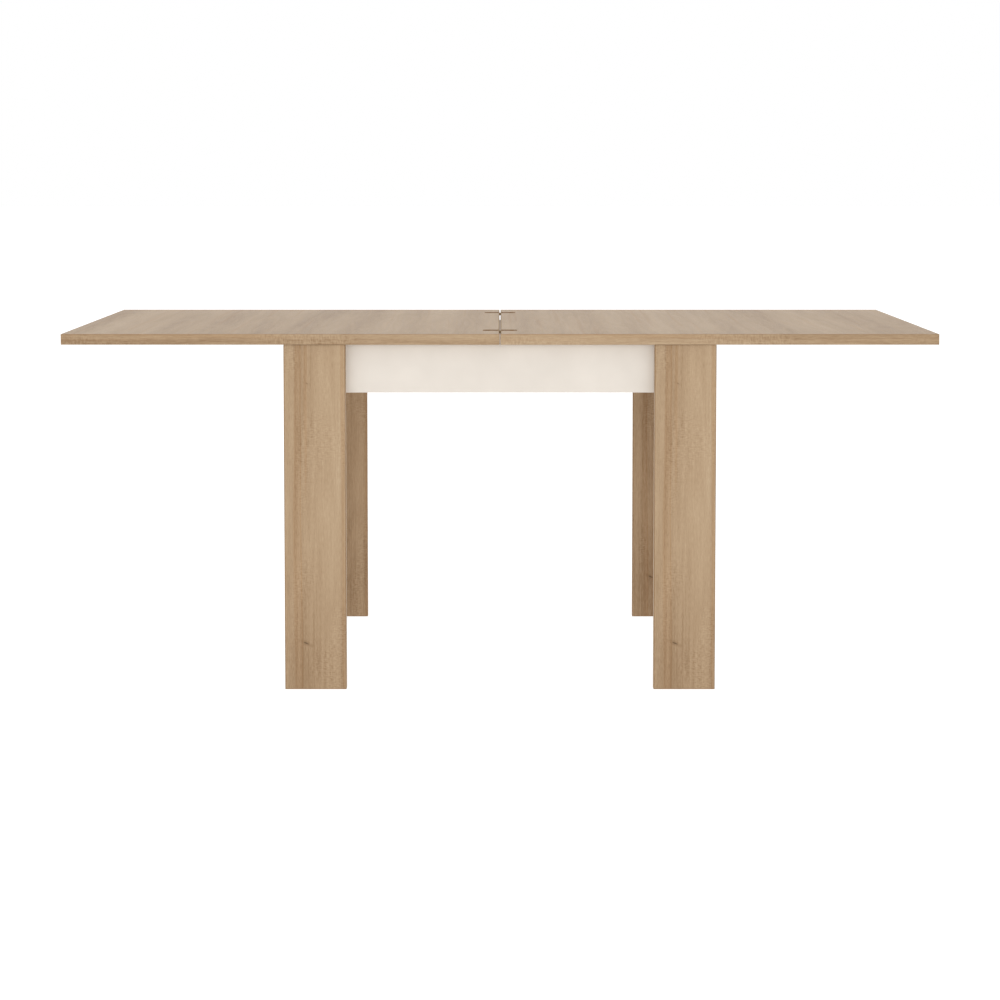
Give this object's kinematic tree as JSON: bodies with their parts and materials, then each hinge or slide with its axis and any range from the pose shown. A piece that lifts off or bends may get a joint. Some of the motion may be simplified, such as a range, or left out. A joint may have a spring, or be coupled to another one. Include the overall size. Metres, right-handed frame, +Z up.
{
  "type": "extending table",
  "caption": "Dining table whose square top swivels and unfolds to twice its length over a frame of L-shaped panel legs with recessed white aprons.",
  "frame": {"origin": "on the floor under the centre of the open top", "axes": "+X along the open top's long side, +Y to the back, +Z up"},
  "size_m": [1.8026, 0.9, 0.738],
  "materials": {
    "oak_laminate": "satin pale oak laminate",
    "white_lacquer": "satin off-white laminate",
    "beech": "plain beech and beech plywood",
    "bronze_lacquered_steel": "matt bronze lacquer",
    "zinc_plated_steel": "bright zinc plating",
    "black_nylon": "matte black",
    "grey_felt": "pressed felt"
  },
  "bodies": {
    "frame": {"apron_back": "white_lacquer", "apron_front": "white_lacquer", "apron_left": "white_lacquer", "apron_right": "white_lacquer", "corner_block_back_left": "beech", "corner_block_back_right": "beech", "corner_block_front_left": "beech", "corner_block_front_right": "beech", "glide_pad_back_left": "grey_felt", "glide_pad_back_right": "grey_felt", "glide_pad_front_left": "grey_felt", "glide_pad_front_right": "grey_felt", "glide_pad_left": "grey_felt", "glide_pad_right": "grey_felt", "leg_back_left_face": "oak_laminate", "leg_back_left_return": "oak_laminate", "leg_back_right_face": "oak_laminate", "leg_back_right_return": "oak_laminate", "leg_bolt_back_left_face": "zinc_plated_steel", "leg_bolt_back_left_return": "zinc_plated_steel", "leg_bolt_back_right_face": "zinc_plated_steel", "leg_bolt_back_right_return": "zinc_plated_steel", "leg_bolt_front_left_face": "zinc_plated_steel", "leg_bolt_front_left_return": "zinc_plated_steel", "leg_bolt_front_right_face": "zinc_plated_steel", "leg_bolt_front_right_return": "zinc_plated_steel", "leg_front_left_face": "oak_laminate", "leg_front_left_return": "oak_laminate", "leg_front_right_face": "oak_laminate", "leg_front_right_return": "oak_laminate", "swivel_board": "beech", "swivel_bush": "black_nylon", "swivel_cleat_back": "beech", "swivel_cleat_front": "beech", "swivel_plate": "zinc_plated_steel"},
    "top_fixed": {"hinge_plate_back_left": "bronze_lacquered_steel", "hinge_plate_front_left": "bronze_lacquered_steel", "hinge_screw_back_left_1": "bronze_lacquered_steel", "hinge_screw_back_left_2": "bronze_lacquered_steel", "hinge_screw_front_left_1": "bronze_lacquered_steel", "hinge_screw_front_left_2": "bronze_lacquered_steel", "leaf_left": "oak_laminate", "swivel_nut": "zinc_plated_steel", "swivel_pivot": "zinc_plated_steel", "swivel_stop_pin": "zinc_plated_steel", "swivel_washer": "zinc_plated_steel"},
    "hinge_links": {"hinge_link_back": "zinc_plated_steel", "hinge_link_front": "zinc_plated_steel", "hinge_pin_back_left": "zinc_plated_steel", "hinge_pin_back_right": "zinc_plated_steel", "hinge_pin_front_left": "zinc_plated_steel", "hinge_pin_front_right": "zinc_plated_steel"},
    "top_flap": {"hinge_plate_back_right": "bronze_lacquered_steel", "hinge_plate_front_right": "bronze_lacquered_steel", "hinge_screw_back_right_1": "bronze_lacquered_steel", "hinge_screw_back_right_2": "bronze_lacquered_steel", "hinge_screw_front_right_1": "bronze_lacquered_steel", "hinge_screw_front_right_2": "bronze_lacquered_steel", "leaf_right": "oak_laminate"}
  },
  "joints": [
    {"name": "top_swivel", "type": "hinge", "parent": "frame", "child": "top_fixed", "pos_m": [-0.22562, 0.22562, 0.7152], "axis": [0, 0, 1], "range_deg": [0, 90]},
    {"name": "flap_inner", "type": "hinge", "parent": "top_fixed", "child": "hinge_links", "pos_m": [-0.004, 0, 0.7347], "axis": [0, -1, 0], "range_deg": [0, 90]},
    {"name": "flap_outer", "type": "hinge", "parent": "hinge_links", "child": "top_flap", "pos_m": [0.004, 0, 0.7347], "axis": [0, -1, 0], "range_deg": [0, 90]}
  ]
}
